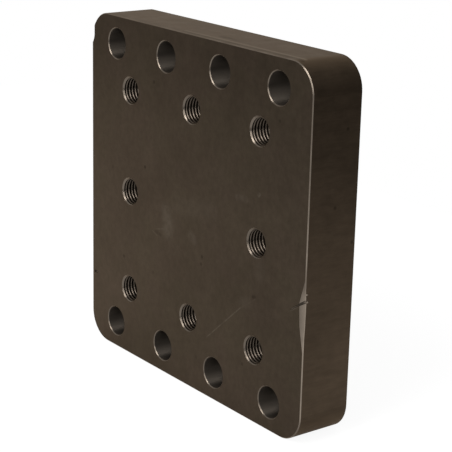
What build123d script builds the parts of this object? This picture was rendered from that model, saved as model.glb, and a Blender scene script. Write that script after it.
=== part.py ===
from build123d import *
from math import sqrt
import os

# A square fixture plate, machined from one piece of thick steel.
# It stands on its bottom edge, with its width along X, its thickness along Y and its height along Z.
# The working face looks towards -Y, and the origin is the middle of the bottom face.

# The blank, with rounded corners and a small break along both outlines
plate_width = 200.0
plate_height = 200.0
plate_thickness = 32.0
corner_radius = 16.5
edge_break = 0.5

# Clearance holes for M16 bolts, in one row near the top edge and one near the bottom edge
clearance_holes_per_row = 4
clearance_hole_radius = 8.75
clearance_hole_chamfer = 0.45
clearance_row_inset = 15.9
clearance_end_inset = 26.35

# Tapped holes at the size of the M16 tap drill, three to a side round an empty middle
tapped_holes_per_side = 3
tap_drill_radius = 7.0
tap_mouth_radius = 8.15
tapped_hole_inset = 40.7

# A blunt dent in the left edge of the face, which runs up into the top left corner
dent_radius = 10.6
dent_bite = 2.4
dent_drop = 13.5

# A small pit in the face, low down beside the left edge
pit_radius = 0.55
pit_tip_radius = 0.15
pit_length = 3.0
pit_inset = 2.6
pit_height = 41.0

# A worn flat on the right edge of the face, widest near its top and running out downwards
flat_bottom = 51.0
flat_belly = 66.0
flat_widest = 78.0
flat_top = 91.5
flat_width = 4.3
flat_depth = 0.95
flat_end_share = 0.06
flat_belly_share = 0.82

# A gouge that runs in from the right edge, over the widest part of the flat and on across the face
gouge_radius = 0.75
gouge_middle_radius = 0.6
gouge_tip_radius = 0.1
gouge_length = 11.0
gouge_start_height = 79.9
gouge_fall = 7.2

# Places worked out from the sizes above
clearance_pitch = (plate_width - 2 * clearance_end_inset) / (clearance_holes_per_row - 1)
clearance_row_spacing = plate_height - 2 * clearance_row_inset
tapped_pitch_across = (plate_width - 2 * tapped_hole_inset) / (tapped_holes_per_side - 1)
tapped_pitch_up = (plate_height - 2 * tapped_hole_inset) / (tapped_holes_per_side - 1)
tap_chamfer = tap_mouth_radius - tap_drill_radius
right_edge = plate_width / 2
face_y = -plate_thickness / 2
front_face = Plane.XZ.offset(plate_thickness / 2)
plate_middle = (0, plate_height / 2)


with BuildPart() as fixture_plate:
    # The blank, sawn from plate, milled all over and broken along its edges
    with BuildSketch(front_face):
        with Locations(plate_middle):
            RectangleRounded(plate_width, plate_height, corner_radius)
    extrude(amount=-plate_thickness)
    outlines = fixture_plate.faces().filter_by(Axis.Y).edges()
    chamfer(outlines, length=edge_break)

    # Clearance holes, drilled through and chamfered at both mouths
    with BuildSketch(front_face):
        with Locations(plate_middle):
            with GridLocations(clearance_pitch, clearance_row_spacing, clearance_holes_per_row, 2):
                Circle(clearance_hole_radius)
    extrude(amount=-plate_thickness, mode=Mode.SUBTRACT)
    clearance_mouths = fixture_plate.edges(Select.LAST).filter_by(GeomType.CIRCLE)
    chamfer(clearance_mouths, length=clearance_hole_chamfer)

    # Tapped holes, drilled through and countersunk at both mouths, with the middle one left out
    with BuildSketch(front_face):
        with Locations(plate_middle):
            with GridLocations(
                tapped_pitch_across, tapped_pitch_up, tapped_holes_per_side, tapped_holes_per_side
            ):
                Circle(tap_drill_radius)
            Circle(tap_drill_radius, mode=Mode.SUBTRACT)
    extrude(amount=-plate_thickness, mode=Mode.SUBTRACT)
    tapped_mouths = fixture_plate.edges(Select.LAST).filter_by(GeomType.CIRCLE)
    chamfer(tapped_mouths, length=tap_chamfer)

    # The dent is the mark of an upright bar with a round end, as deep in the face as in the left edge
    dent_standoff = (sqrt(2 * dent_radius**2 - dent_bite**2) - dent_bite) / 2
    with Locations((-right_edge - dent_standoff, face_y - dent_standoff, plate_height - dent_drop)):
        Sphere(dent_radius, mode=Mode.SUBTRACT)
        Cylinder(dent_radius, dent_drop, align=(Align.CENTER, Align.CENTER, Align.MIN), mode=Mode.SUBTRACT)

    # The worn flat is a wedge, cut through four triangles set up the right edge
    flat_stations = (
        (flat_bottom, flat_end_share),
        (flat_belly, flat_belly_share),
        (flat_widest, 1),
        (flat_top, flat_end_share),
    )
    for height, share in flat_stations:
        width = flat_width * share
        depth = flat_depth * share
        with BuildSketch(Plane.XY.offset(height)):
            with BuildLine():
                Polyline(
                    (right_edge - width, face_y),
                    (right_edge + width, face_y - depth),
                    (right_edge + width, face_y + 2 * depth),
                    close=True,
                )
            make_face()
    loft(ruled=True, mode=Mode.SUBTRACT)

    # The pit and the gouge are round grooves that narrow as they run in from the edge.
    # The gouge climbs the slope of the worn flat, bends where the slope ends and crosses the face.
    pit_start = (-right_edge + pit_inset, face_y, pit_height)
    pit_end = (-right_edge + pit_inset + pit_length, face_y, pit_height)
    gouge_slope = gouge_fall / gouge_length
    gouge_start = (right_edge, face_y + flat_depth, gouge_start_height)
    gouge_bend = (right_edge - flat_width, face_y, gouge_start_height - flat_width * gouge_slope)
    gouge_end = (right_edge - gouge_length, face_y, gouge_start_height - gouge_fall)
    grooves = (
        ((pit_start, pit_radius), (pit_end, pit_tip_radius)),
        ((gouge_start, gouge_radius), (gouge_bend, gouge_middle_radius), (gouge_end, gouge_tip_radius)),
    )
    for stations in grooves:
        run = Vector(*stations[-1][0]) - Vector(*stations[0][0])
        for place, radius in stations:
            with BuildSketch(Plane(origin=place, z_dir=run)):
                Circle(radius)
        loft(ruled=True, mode=Mode.SUBTRACT)

fixture_plate.part.label = "fixture_plate"
os.makedirs("parts", exist_ok=True)
export_step(fixture_plate.part, "parts/fixture_plate.step")
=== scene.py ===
import bmesh
import bpy
from math import cos, hypot, radians, sin, tan, tau
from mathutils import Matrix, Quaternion, Vector


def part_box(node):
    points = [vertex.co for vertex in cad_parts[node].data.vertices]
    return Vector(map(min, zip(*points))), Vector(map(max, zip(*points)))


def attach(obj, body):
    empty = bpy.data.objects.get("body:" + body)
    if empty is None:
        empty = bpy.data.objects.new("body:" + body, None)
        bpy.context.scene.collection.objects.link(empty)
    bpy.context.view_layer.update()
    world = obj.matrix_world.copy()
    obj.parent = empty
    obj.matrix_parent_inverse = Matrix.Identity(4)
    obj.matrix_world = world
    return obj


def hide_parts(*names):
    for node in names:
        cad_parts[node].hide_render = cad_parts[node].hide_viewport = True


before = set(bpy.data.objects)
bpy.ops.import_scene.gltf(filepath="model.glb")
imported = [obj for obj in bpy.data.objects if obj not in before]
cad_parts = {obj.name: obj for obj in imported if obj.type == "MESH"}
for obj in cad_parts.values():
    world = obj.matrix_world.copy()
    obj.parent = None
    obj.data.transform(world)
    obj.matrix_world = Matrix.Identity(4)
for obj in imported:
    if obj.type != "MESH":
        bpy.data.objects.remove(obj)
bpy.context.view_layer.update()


# The plate itself: one thick piece of dark steel, milled all over, drilled and tapped.
# The CAD solid holds its form, with the tapped holes at the size the drill left them.
# A merged copy of it is made here, and the burrs and the threads are worked into the copy.
merge_distance = 2e-6

plate_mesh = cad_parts["fixture_plate"].data.copy()
plate_mesh.name = "threaded_plate"
plate = bpy.data.objects.new("threaded_plate", plate_mesh)
bpy.context.scene.collection.objects.link(plate)
bm = bmesh.new()
bm.from_mesh(plate_mesh)
bmesh.ops.remove_doubles(bm, verts=bm.verts, dist=merge_distance)
bm.to_mesh(plate_mesh)
bm.free()


# The burrs: two small beads of steel, thrown up on the right edge where the gouge was torn out of it.
# They are part of the plate, so they are joined to it.
burr_places = ((0.0999, -0.0147, 0.0833), (0.0999, -0.0143, 0.0792))
burr_radius = 0.00052
burr_stretch = Vector((0.8, 1.15, 0.8))


def apply_boolean(body, tool, operation):
    """Joins a solid to the body or cuts it out, keeps the result and removes the solid that did it."""
    step = body.modifiers.new(operation.lower(), "BOOLEAN")
    step.object = tool
    step.operation = operation
    step.solver = "EXACT"
    worked = bpy.data.meshes.new_from_object(body.evaluated_get(bpy.context.evaluated_depsgraph_get()))
    body.modifiers.clear()
    body.data = worked
    bpy.data.objects.remove(tool)


bm = bmesh.new()
for place in burr_places:
    bead = bmesh.ops.create_icosphere(bm, subdivisions=2, radius=burr_radius)["verts"]
    bmesh.ops.scale(bm, verts=bead, vec=burr_stretch)
    bmesh.ops.translate(bm, verts=bead, vec=place)
burr_mesh = bpy.data.meshes.new("burrs")
bm.to_mesh(burr_mesh)
bm.free()
burrs = bpy.data.objects.new("burrs", burr_mesh)
bpy.context.scene.collection.objects.link(burrs)
apply_boolean(plate, burrs, "UNION")


# The taps: each is the body of air that an M16 x 2 tap clears, a bore with a right-hand ridge round it.
# Its section, drawn from the middle of the hole outwards, is turned once about the hole and moves on by
# one pitch, so it ends on its own next turn and is welded there. A flat step shuts each end.
thread_pitch = 0.002
thread_crest_radius = 0.00703
thread_root_radius = 0.008
thread_root_flat = 0.00025
thread_edge = 0.0002
thread_slant = radians(30)
thread_turns = 19
thread_start = -0.01861
thread_end = thread_start + thread_turns * thread_pitch
thread_steps = 72
thread_depth = thread_root_radius - thread_crest_radius
thread_flank = thread_depth * tan(thread_slant)
edge_radius = thread_crest_radius + thread_edge * cos(thread_slant)
edge_run = thread_edge * (1 + sin(thread_slant))
tapped_pitch = 0.0593
tapped_middle_height = 0.1
tapped_places = [
    Vector((across * tapped_pitch, 0, tapped_middle_height + up * tapped_pitch))
    for across in (-1, 0, 1)
    for up in (-1, 0, 1)
    if (across, up) != (0, 0)
]

section = [(0, thread_start)]
for turn in range(thread_turns):
    start = thread_start + turn * thread_pitch
    end = start + 2 * (thread_edge + thread_flank) + thread_root_flat
    section += [
        (thread_crest_radius, start),
        (edge_radius, start + edge_run),
        (thread_root_radius, start + thread_edge + thread_flank),
        (thread_root_radius, end - thread_edge - thread_flank),
        (edge_radius, end - edge_run),
        (thread_crest_radius, end),
    ]
section += [(thread_crest_radius, thread_end), (0, thread_end)]

bm = bmesh.new()
corners = [bm.verts.new((radius, along, 0)) for radius, along in section]
edges = [bm.edges.new(pair) for pair in zip(corners, corners[1:])]
bmesh.ops.spin(
    bm,
    geom=corners + edges,
    cent=(0, 0, 0),
    axis=(0, 1, 0),
    dvec=(0, thread_pitch / thread_steps, 0),
    angle=tau,
    steps=thread_steps,
)
bmesh.ops.remove_doubles(bm, verts=bm.verts, dist=merge_distance)
step_edges = [edge for edge in bm.edges if edge.is_boundary]
bmesh.ops.holes_fill(bm, edges=step_edges)
bmesh.ops.recalc_face_normals(bm, faces=bm.faces)
tap_mesh = bpy.data.meshes.new("one_tap")
bm.to_mesh(tap_mesh)
bm.free()

bm = bmesh.new()
for place in tapped_places:
    first = len(bm.verts)
    bm.from_mesh(tap_mesh)
    bm.verts.ensure_lookup_table()
    bmesh.ops.translate(bm, verts=bm.verts[first:], vec=place)
taps_mesh = bpy.data.meshes.new("taps")
bm.to_mesh(taps_mesh)
bm.free()
taps = bpy.data.objects.new("taps", taps_mesh)
bpy.context.scene.collection.objects.link(taps)
apply_boolean(plate, taps, "DIFFERENCE")


# What was done to each face: the broad faces and the outline are milled and blackened, the bores reamed,
# the threads cut and left oily, and every edge that was broken or worn later is bare.
# Round corners run smoothly into the sides, and where two finishes meet the edge is sharp.
corner_radius = 0.0165
flat_enough = 0.99995
upright_enough = 0.002
outline_reach = 0.001
tapped_reach = 0.0085
cone_slopes = (0.69, 0.72)
smooth_angle = radians(35)
finish_names = ("bare", "reamed", "threaded", "rounded", "broad", "level")

low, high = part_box("fixture_plate")
corner_x = high[0] - corner_radius
corner_z = (high[2] - low[2]) / 2 - corner_radius
middle_z = (high[2] + low[2]) / 2


def finish_at(face):
    """Tells a face's finish from its place and its slope, with none for the upright sides."""
    middle = face.calc_center_median()
    slope = abs(face.normal.y)
    if slope >= flat_enough:
        return "broad"
    if any(hypot(middle.x - place.x, middle.z - place.z) < tapped_reach for place in tapped_places):
        return "bare" if cone_slopes[0] < slope < cone_slopes[1] else "threaded"
    if slope >= upright_enough:
        return "bare"
    past_x = max(abs(middle.x) - corner_x, 0)
    past_z = max(abs(middle.z - middle_z) - corner_z, 0)
    if hypot(past_x, past_z) <= corner_radius - outline_reach:
        return "reamed"
    if past_x and past_z:
        return "rounded"
    return "level" if past_z else None


bm = bmesh.new()
bm.from_mesh(plate.data)
finishes = {name: bm.faces.layers.float.new(name) for name in finish_names}
sunk_share = bm.verts.layers.float.new("sunk")
for vert in bm.verts:
    radius = min(hypot(vert.co.x - place.x, vert.co.z - place.z) for place in tapped_places)
    vert[sunk_share] = min(max((radius - thread_crest_radius) / thread_depth, 0), 1)
surface_of = {}
for face in bm.faces:
    finish = finish_at(face)
    face.smooth = finish != "broad"
    if finish:
        face[finishes[finish]] = 1
    surface_of[face] = "outline" if finish in ("rounded", "level", None) else finish
for edge in bm.edges:
    first, second = edge.link_faces
    edge.smooth = surface_of[first] == surface_of[second] and edge.calc_face_angle() < smooth_angle
bm.to_mesh(plate.data)
bm.free()
weighted = plate.modifiers.new("even_shading", "WEIGHTED_NORMAL")
weighted.mode = "FACE_AREA"
weighted.keep_sharp = True
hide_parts("fixture_plate")
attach(plate, "root")


# Some light and shade is painted into its colour as well: on the top, the bottom and the sides, the worn
# flat, the pit, the gouge and the thread roots.
# The steel: a warm black oxide over milled metal, clouded, with a fine upright grain on the broad faces.
# It is worn through to bright metal on every edge, and the years have left specks, scratches and smears.
# A few short functions wire the nodes, and all patterns are laid out in the plate's own metres.
warm_shine = (1.0, 0.86, 0.73, 1)
whole = (0.0, 1.0)

steel = bpy.data.materials.new("dark_steel")
steel.use_nodes = True
tree = steel.node_tree
shader = tree.nodes["Principled BSDF"]
shader.inputs["Metallic"].default_value = 1.0
shader.inputs["Specular Tint"].default_value = warm_shine


def add_node(kind, inputs=(), **settings):
    """Adds a node to the tree at hand, sets its options, and fills its inputs with numbers or wires."""
    node = tree.nodes.new("ShaderNode" + kind)
    for name, value in settings.items():
        setattr(node, name, value)
    for socket, value in dict(inputs).items():
        if isinstance(value, bpy.types.NodeSocket):
            tree.links.new(value, node.inputs[socket])
        else:
            node.inputs[socket].default_value = value
    return node


def work_out(operation, *values):
    """One sum, with numbers or wires."""
    return add_node("Math", enumerate(values), operation=operation).outputs[0]


def vector_sum(operation, *values, output=0):
    """One sum on vectors, with numbers or wires."""
    return add_node("VectorMath", enumerate(values), operation=operation).outputs[output]


def scaled(vector, share):
    """A vector or a colour, times a share."""
    return add_node("VectorMath", {0: vector, 3: share}, operation="SCALE").outputs[0]


def remap(value, span, onto):
    """Stretches a span of values onto another one, and holds it at its ends."""
    stretch = {
        "Value": value,
        "From Min": span[0],
        "From Max": span[1],
        "To Min": onto[0],
        "To Max": onto[1],
    }
    return add_node("MapRange", stretch, interpolation_type="SMOOTHSTEP").outputs["Result"]


def blend(share, first, second):
    """Mixes two numbers by a share of the second."""
    return add_node("Mix", {0: share, 2: first, 3: second}).outputs[0]


def mix(share, first, second):
    """Mixes two colours by a share of the second."""
    return add_node("Mix", {0: share, 6: first, 7: second}, data_type="RGBA").outputs[2]


def strongest(masks):
    """The strongest of several masks at each place."""
    result = masks[0]
    for mask in masks[1:]:
        result = work_out("MAXIMUM", result, mask)
    return result


here = add_node("TexCoord").outputs["Object"]
here_parts = add_node("SeparateXYZ", {0: here})
here_x = here_parts.outputs["X"]
here_z = here_parts.outputs["Z"]


def clouds(stretch, scale, detail=3.0, roughness=0.5):
    """Noise in the plate's own metres, stretched along its three directions."""
    stretched = vector_sum("MULTIPLY", here, stretch)
    settings = {"Vector": stretched, "Scale": scale, "Detail": detail, "Roughness": roughness}
    return add_node("TexNoise", settings).outputs["Fac"]


def near_spot(place, core, fade):
    """One at a spot, and falling to nothing over the fade round its core."""
    distance = vector_sum("DISTANCE", here, place, output=1)
    return remap(distance, (core, core + fade), (1.0, 0.0))


def near_line(start, end, core, fade):
    """One on the line from start to end, and falling to nothing over the fade round its core."""
    run = Vector(end) - Vector(start)
    along = vector_sum("SUBTRACT", here, start)
    share = vector_sum("DOT_PRODUCT", along, run / run.length_squared, output=1)
    held = add_node("Clamp", {"Value": share}).outputs[0]
    distance = vector_sum("DISTANCE", along, scaled(run, held), output=1)
    return remap(distance, (core, core + fade), (1.0, 0.0))


def drawn(lines):
    """The strongest of several lines at each place, each with its start, end, core, fade and strength."""
    return strongest([
        work_out("MULTIPLY", near_line(start, end, core, fade), strength)
        for start, end, core, fade, strength in lines
    ])


face_y = low[1]
right_x = high[0]
top_z = high[2]
sunk = add_node("Attribute", attribute_name="sunk").outputs["Fac"]
bare, reamed, threaded, rounded, broad, level = (
    add_node("Attribute", attribute_name=name).outputs["Fac"] for name in finish_names
)

# The oxide: a warm black, clouded in patches from 45 mm down to 3 mm across, with the cutter's grain in it.
# The grain is upright on the broad faces, runs along the top and the bottom, and crosses the other sides.
olive_oxide = (0.0463, 0.0363, 0.0259, 1)
red_oxide = (0.0472, 0.0357, 0.0266, 1)
side_oxide = (0.0508, 0.0369, 0.0252, 1)
even = (1, 1, 1)
cloud_span = (0.3, 0.7)
wide_span = (0.25, 0.75)
tint_span = (0.35, 0.65)
patch_tones = (0.92, 1.08)
blot_tones = (0.88, 1.12)
fleck_tones = (0.89, 1.11)
grain_tones = (0.975, 1.025)
streak_tones = (-0.1, 0.1)
# Painted light: the top, the bottom and the sides are painted lighter than the broad faces.
narrow_faces_painted_light = 1.12
corner_tone = 0.91
# Painted shade: the plate is painted darker from its left end towards its right end.
across_span = (-0.09, 0.09)
across_painted_shade = (1.03, 0.94)
# Painted shade: the top and the bottom are painted darker towards their right ends, by the corner.
top_fade_start = 0.02
top_painted_shade = 0.16
# Painted light: the upright sides are painted lighter near their bottom.
low_side_span = (0.08, 0.12)
low_side_painted_gain = 0.08

tints = clouds(even, scale=28, roughness=0.6)
patches = clouds(even, scale=22, detail=2.0)
blots = clouds(even, scale=95, detail=4.0, roughness=0.6)
face_flecks = clouds((1, 1, 0.85), scale=330, roughness=0.7)
side_flecks = clouds((1, 0.2, 1), scale=330, roughness=0.7)
flecks = blend(broad, side_flecks, face_flecks)
upright_grain = clouds((1, 1, 0.06), scale=800, detail=4.0, roughness=0.7)
level_grain = clouds((0.05, 1, 1), scale=900, roughness=0.65)
side_grain = clouds((1, 0.08, 1), scale=800, detail=4.0, roughness=0.7)
grain = blend(level, blend(broad, side_grain, upright_grain), level_grain)
streaks = clouds((0.2, 1, 1), scale=170, detail=4.0, roughness=0.6)

tone = remap(patches, cloud_span, patch_tones)
for pattern, tones in ((blots, blot_tones), (flecks, fleck_tones), (grain, grain_tones)):
    tone = work_out("MULTIPLY", tone, remap(pattern, wide_span, tones))
tone = work_out("ADD", tone, work_out("MULTIPLY", level, remap(streaks, cloud_span, streak_tones)))
# Painted light on the top, the bottom and the sides
tone = work_out("MULTIPLY", tone, remap(broad, whole, (narrow_faces_painted_light, 1.0)))
# Painted shade, darker towards the right
tone = work_out("MULTIPLY", tone, remap(here_x, across_span, across_painted_shade))
tone = work_out("MULTIPLY", tone, remap(rounded, whole, (1.0, corner_tone)))
# Painted shade towards the right end of the top and the bottom
top_right_painted_shade = remap(here_x, (top_fade_start, corner_x), (0.0, top_painted_shade))
tone = work_out("SUBTRACT", tone, work_out("MULTIPLY", level, top_right_painted_shade))
upright_side = work_out("SUBTRACT", 1.0, work_out("MAXIMUM", broad, level))
# Painted light, lighter low down on the upright sides
low_side_painted_light = remap(here_z, low_side_span, (low_side_painted_gain, 0.0))
tone = work_out("ADD", tone, work_out("MULTIPLY", upright_side, low_side_painted_light))
tint = mix(remap(tints, tint_span, whole), olive_oxide, red_oxide)
tint = mix(upright_side, tint, side_oxide)
# The oxide colour here also carries the painted light and shade in the tone above.
oxide = scaled(tint, tone)

# Dark specks in the working face and the right side, each with its place and its strength, and one nick
speck_core = 0.00039
speck_fade = 0.00104
dark_specks = (
    (-0.044, face_y, 0.118, 0.8),
    (-0.0654, face_y, 0.0591, 0.7),
    (0.0123, face_y, 0.0797, 0.7),
    (0.0115, face_y, 0.0754, 0.6),
    (0.0581, face_y, 0.0702, 0.6),
    (0.0596, face_y, 0.0706, 0.45),
    (0.0504, face_y, 0.0298, 0.5),
    (-0.0358, face_y, 0.1683, 0.6),
    (0.0753, face_y, 0.1678, 0.5),
    (0.0085, face_y, 0.0198, 0.4),
    (-0.0349, face_y, 0.0577, 0.3),
    (-0.0775, face_y, 0.1106, 0.3),
    (right_x, 0.0073, 0.1659, 0.5),
    (right_x, 0.0012, 0.1263, 0.5),
    (right_x, 0.0137, 0.1064, 0.5),
)
nicks = (((-0.0328, face_y, 0.0828), (-0.0278, face_y, 0.0819), 0.0004, 0.0009, 0.3),)
specks = [
    work_out("MULTIPLY", near_spot((x, y, z), speck_core, speck_fade), strength)
    for x, y, z, strength in dark_specks
]

# Fine scratches in the face, broken up along their length
hair_core = 0.00012
hair_fade = 0.00045
scratches = (
    ((0.01805, face_y, 0.0349), (0.0473, face_y, 0.0607), hair_core, hair_fade, 0.3),
    ((0.0473, face_y, 0.0607), (0.0600, face_y, 0.0694), hair_core, hair_fade, 0.12),
    ((-0.0314, face_y, 0.0845), (-0.0234, face_y, 0.0866), hair_core, hair_fade, 0.25),
    ((-0.0358, face_y, 0.0824), (-0.0313, face_y, 0.0806), hair_core, hair_fade, 0.16),
)
break_span = (0.35, 0.55)
break_shares = (0.35, 1.0)
breaks = remap(clouds(even, scale=420, detail=2.0), break_span, break_shares)

# Dark lines along the top, where something was clamped, and a line rubbed bright beside them
clamp_fade = 0.0011
clamp_lines = (
    ((-0.072, -0.0135, top_z), (-0.010, -0.0138, top_z), 0.0002, clamp_fade, 0.4),
    ((-0.010, -0.0138, top_z), (0.0880, -0.0130, top_z), 0.0004, clamp_fade, 0.9),
    ((0.0115, -0.0064, top_z), (0.0200, -0.0060, top_z), 0.0008, clamp_fade, 1.0),
    ((0.0200, -0.0062, top_z), (0.0383, -0.0075, top_z), 0.0004, clamp_fade, 0.6),
    ((-0.045, 0.0020, top_z), (0.0100, 0.0045, top_z), 0.0003, clamp_fade, 0.25),
)
rubbed_lines = (((-0.012, -0.0117, top_z), (0.086, -0.0100, top_z), 0.0005, 0.0009, 0.7),)

# Soft pale smears on the face, as if left by a thumb or a rag, and broken up into wisps
smears = (
    ((-0.0221, face_y, 0.0968), (-0.0210, face_y, 0.0912), 0.0002, 0.0080, 0.26),
    ((-0.0210, face_y, 0.0912), (-0.0205, face_y, 0.0865), 0.0002, 0.0080, 0.34),
    ((0.0017, face_y, 0.0889), (0.0046, face_y, 0.0871), 0.0004, 0.004, 0.18),
    ((0.0420, face_y, 0.1210), (0.0498, face_y, 0.1212), 0.0004, 0.0025, 0.16),
    ((-0.0101, face_y, 0.1032), (0.0200, face_y, 0.1080), 0.001, 0.008, 0.08),
    ((0.0602, face_y, 0.1259), (0.0608, face_y, 0.1265), 0.0004, 0.0012, 0.35),
    ((0.0500, face_y, 0.0640), (0.0530, face_y, 0.0656), 0.001, 0.005, 0.1),
    ((0.0632, face_y, 0.0872), (0.0632, face_y, 0.0845), 0.002, 0.005, 0.08),
)
wisp_span = (0.32, 0.62)
wisp_shares = (0.35, 1.0)
wisps = remap(clouds(even, scale=260, detail=4.0, roughness=0.6), wisp_span, wisp_shares)

# Painted shade in the pit and in the gouge, with a painted highlight on the lip under the gouge; the
# gouge's shade and the highlight fade towards its tip
pit_inset = 0.0026
pit_length = 0.0026
pit_height = 0.041
pit_mouth = (pit_inset - right_x, face_y, pit_height)
pit_tip = (pit_inset + pit_length - right_x, face_y, pit_height)
pits = ((pit_mouth, pit_tip, 0.0005, 0.0005, 1.0),)
gouge_mouth = Vector((right_x, -0.0151, 0.0799))
gouge_tip = Vector((0.089, face_y, 0.0727))
gouge_core = 0.0003
gouge_fade = 0.0004
gouge_reach = 0.005
gouge_shares = (0.15, 0.75)
lip_drop = Vector((0, 0, -0.0008))
lip_core = 0.0002
lip_fade = 0.0004
lip_reach = 0.003
lip_shares = (0.1, 0.6)
gouge_share = remap(here_x, (gouge_tip.x, right_x - gouge_reach), gouge_shares)
gouge_painted_shade = work_out("MULTIPLY", near_line(gouge_mouth, gouge_tip, gouge_core, gouge_fade), gouge_share)
lip_share = remap(here_x, (gouge_tip.x, right_x - lip_reach), lip_shares)
lip_highlight = near_line(gouge_mouth + lip_drop, gouge_tip + lip_drop, lip_core, lip_fade)
lip_highlight = work_out("MULTIPLY", lip_highlight, lip_share)

# The rubbed steel also gives the painted highlight on the lip, and the black the painted shade in the pit
# and the gouge.
rubbed_steel_and_highlight = (0.135, 0.115, 0.093, 1)
dirt_and_shade_black = (0.012, 0.0095, 0.007, 1)
fine_scratches = work_out("MULTIPLY", drawn(scratches), breaks)
wispy_smears = work_out("MULTIPLY", drawn(smears), wisps)
light = strongest([fine_scratches, drawn(rubbed_lines), wispy_smears, lip_highlight])
dark = strongest([*specks, drawn(nicks), drawn(clamp_lines), drawn(pits)])
# The dark marks hold specks and the painted shade in the pit; the light ones hold the painted highlight on
# the lip.
colour = mix(dark, mix(light, oxide, rubbed_steel_and_highlight), dirt_and_shade_black)

# Reamed bores, oily threads and bare edges, each with its own shade of metal.
# The worn flat is painted lighter across to the right, with a painted highlight along the very edge, and
# painted shade at its top.
reamed_steel = (0.08, 0.068, 0.056, 1)
threaded_steel = (0.125, 0.103, 0.083, 1)
# Painted shade: the threads are painted darker towards their roots.
root_shade_black = (0.02, 0.0155, 0.0115, 1)
cut_steel = (0.2, 0.166, 0.134, 1)
tarnished_steel = (0.16, 0.1328, 0.1072, 1)
root_shade_span = (0.05, 0.5)
flat_reach = 0.0045
flat_painted_tones = (0.82, 1.1)
rim_reach = 0.0007
rim_painted_highlight = 0.35
edge_reach = 0.0002
flat_top = (0.0975, face_y, 0.0915)
flat_top_core = 0.003
flat_top_fade = 0.009
flat_top_share = 0.45

colour = mix(reamed, colour, reamed_steel)
# Painted shade in the thread roots
colour = mix(threaded, colour, mix(remap(sunk, root_shade_span, whole), threaded_steel, root_shade_black))
worn_metal_and_painted_shade = mix(remap(blots, cloud_span, whole), cut_steel, tarnished_steel)
# Painted shade at the top of the flat
flat_top_painted_shade = work_out("MULTIPLY", near_spot(flat_top, flat_top_core, flat_top_fade), flat_top_share)
worn_metal_and_painted_shade = mix(flat_top_painted_shade, worn_metal_and_painted_shade, red_oxide)
edge_x = right_x - edge_reach
# Painted light across the flat, and a painted highlight along its edge
shine = remap(here_x, (right_x - flat_reach, edge_x), flat_painted_tones)
shine = work_out("ADD", shine, remap(here_x, (right_x - rim_reach, edge_x), (0.0, rim_painted_highlight)))
colour = mix(bare, colour, scaled(worn_metal_and_painted_shade, shine))
# Painted shade in the gouge
colour = mix(gouge_painted_shade, colour, dirt_and_shade_black)
tree.links.new(colour, shader.inputs["Base Color"])

# The oxide is duller than the bare edges and the threads, and the reamed bores are the dullest
oxide_dullness = (0.39, 0.45)
bare_polish = 0.08
reamed_dullness = 0.1
thread_polish = 0.1
dullness = remap(blots, cloud_span, oxide_dullness)
dullness = work_out("SUBTRACT", dullness, work_out("MULTIPLY", bare, bare_polish))
dullness = work_out("ADD", dullness, work_out("MULTIPLY", reamed, reamed_dullness))
dullness = work_out("SUBTRACT", dullness, work_out("MULTIPLY", threaded, thread_polish))
tree.links.new(dullness, shader.inputs["Roughness"])

# The tools that turn in the holes leave marks round them, so light spreads along the holes.
# It does so on all bare edges, and less in the threads.
ring_share = 0.85
thread_ring_share = 0.6
rings = work_out("MULTIPLY", work_out("MAXIMUM", bare, reamed), ring_share)
rings = work_out("MAXIMUM", rings, work_out("MULTIPLY", threaded, thread_ring_share))
tree.links.new(rings, shader.inputs["Anisotropic"])
along_hole = add_node("CombineXYZ", {1: 1.0}).outputs[0]
tree.links.new(along_hole, shader.inputs["Tangent"])

plate.data.materials.clear()
plate.data.materials.append(steel)


# The sheet: a piece of white board that the plate stands on, matt and evenly lit.
# To the camera and to the steel it mostly glows white, but it keeps some of the plate's shadow, and the
# steel sees it darker close to the plate.
sheet_left = -0.8
sheet_right = 0.42
sheet_front = -0.75
sheet_back = 0.36
sheet_glow = 1.08
sheet_glow_share = 0.85
board_white = (0.8, 0.8, 0.8, 1)
pure_white = (1, 1, 1, 1)
shade_reach = 0.05
shade_floor = 0.25

bm = bmesh.new()
sheet_size = Vector((sheet_right - sheet_left, sheet_back - sheet_front, 1))
sheet_middle = Vector((sheet_left + sheet_right, sheet_front + sheet_back, 0)) / 2
bmesh.ops.create_grid(bm, x_segments=1, y_segments=1, size=0.5)
bmesh.ops.scale(bm, verts=bm.verts, vec=sheet_size)
bmesh.ops.translate(bm, verts=bm.verts, vec=sheet_middle)
sheet_mesh = bpy.data.meshes.new("floor")
bm.to_mesh(sheet_mesh)
bm.free()
sheet = bpy.data.objects.new("floor", sheet_mesh)
bpy.context.scene.collection.objects.link(sheet)

board = bpy.data.materials.new("white_board")
board.use_nodes = True
tree = board.node_tree
tree.nodes.clear()
sheet_place = add_node("TexCoord").outputs["Object"]
beyond = vector_sum("SUBTRACT", vector_sum("ABSOLUTE", sheet_place), (high[0], high[1], 0))
beyond = vector_sum("MAXIMUM", beyond, (0, 0, 0))
reach = vector_sum("LENGTH", beyond, output=1)
# A painted shadow: the steel sees the sheet darker close to the plate.
lit = remap(reach, (0.0, shade_reach), (shade_floor, 1.0))
rays = add_node("LightPath").outputs
glossy = work_out("MULTIPLY", rays["Is Glossy Ray"], lit)
seen = strongest([glossy, rays["Is Camera Ray"], rays["Is Transmission Ray"]])
glow_share = work_out("MULTIPLY", seen, sheet_glow_share)
paper = add_node("BsdfDiffuse", {"Color": board_white}).outputs[0]
glow = add_node("Emission", {"Color": pure_white, "Strength": sheet_glow}).outputs[0]
surface = add_node("MixShader", {0: glow_share, 1: paper, 2: glow}).outputs[0]
add_node("OutputMaterial", {"Surface": surface})
sheet_mesh.materials.append(board)


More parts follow.
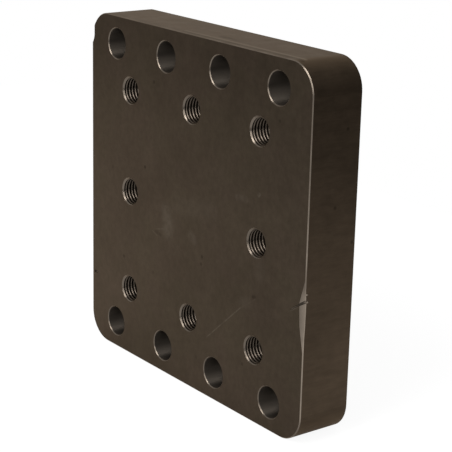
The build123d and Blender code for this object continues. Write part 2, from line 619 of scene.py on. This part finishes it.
# The room: white to the camera, a soft grey that brightens towards the ceiling to all else, and part white
# in the steel's shine. It is darker behind the right side of the plate and brighter high up on the left.
# Each of these shades has its direction, the nearness at which it starts and is full, and its share.
shine_share = 0.3
horizon_height = -0.1
horizon_level = 0.186
ceiling_height = 0.8
ceiling_level = 0.686
shades = (
    (Vector((0.8, 0.6, 0.0)), 0.2, 0.75, 0.62),
    (Vector((-0.76, -0.29, 0.58)), 0.75, 1.0, 1.25),
)

world = bpy.data.worlds.new("room")
bpy.context.scene.world = world
world.use_nodes = True
tree = world.node_tree
direction = add_node("TexCoord").outputs["Generated"]
height = add_node("SeparateXYZ", {0: direction}).outputs["Z"]
brightness = remap(height, (horizon_height, ceiling_height), (horizon_level, ceiling_level))
rays = add_node("LightPath").outputs
reflected = work_out("MULTIPLY", rays["Is Glossy Ray"], shine_share)
for middle, start, full, share in shades:
    nearness = vector_sum("DOT_PRODUCT", direction, middle, output=1)
    shade = remap(nearness, (start, full), (1.0, share))
    brightness = work_out("MULTIPLY", brightness, shade)
    reflected = work_out("MULTIPLY", reflected, shade)
seen = strongest([rays["Is Camera Ray"], rays["Is Transmission Ray"], reflected])
background = tree.nodes["Background"]
background.inputs["Color"].default_value = pure_white
tree.links.new(blend(seen, brightness, 1.0), background.inputs["Strength"])


# The lamps: two large soft boxes in front, one high and one low, and a small one further to the right.
# They give the edges and the threads their shine, and all look at the middle of the plate.
# Each has its name, its place, how far it leans in degrees, its width and height, and its power.
lamp_aim = Vector((0, 0, 0.1))
lamps = (
    ("high_lamp", Vector((0.1876, -0.9127, 1.1065)), 25, 0.5, 0.75, 12.3),
    ("low_lamp", Vector((0.6184, -1.1433, 0.5375)), 25, 0.5, 0.75, 4.5),
    ("side_lamp", Vector((0.849, -0.797, 0.697)), 0, 0.35, 0.5, 0.9),
)
for name, place, lean, width, height, power in lamps:
    lamp_data = bpy.data.lights.new(name, "AREA")
    lamp_data.shape = "RECTANGLE"
    lamp_data.size = width
    lamp_data.size_y = height
    lamp_data.energy = power
    lamp = bpy.data.objects.new(name, lamp_data)
    lamp.location = place
    lamp.rotation_mode = "QUATERNION"
    towards_plate = (lamp_aim - place).to_track_quat("-Z", "Y")
    lamp.rotation_quaternion = towards_plate @ Quaternion((0, 0, 1), radians(lean))
    bpy.context.scene.collection.objects.link(lamp)


# The camera: off to the right and a little above, with a long lens and a slight tilt of the frame.
# Its place, its lens and its tilt were fitted to the plate's outline and the middles of its holes.
camera_place = Vector((0.63328, -0.47257, 0.32920))
camera_aim = Vector((0.01218, 0, 0.09474))
camera_lens = 118.17
camera_roll = radians(1.42)
camera_reach = 50

camera_data = bpy.data.cameras.new("camera")
camera_data.lens = camera_lens
camera_data.clip_end = camera_reach
camera = bpy.data.objects.new("camera", camera_data)
camera.location = camera_place
camera.rotation_mode = "QUATERNION"
towards_aim = (camera_aim - camera_place).to_track_quat("-Z", "Y")
camera.rotation_quaternion = towards_aim @ Quaternion((0, 0, 1), camera_roll)
bpy.context.scene.collection.objects.link(camera)
bpy.context.scene.camera = camera
bpy.context.scene.view_settings.view_transform = "Standard"
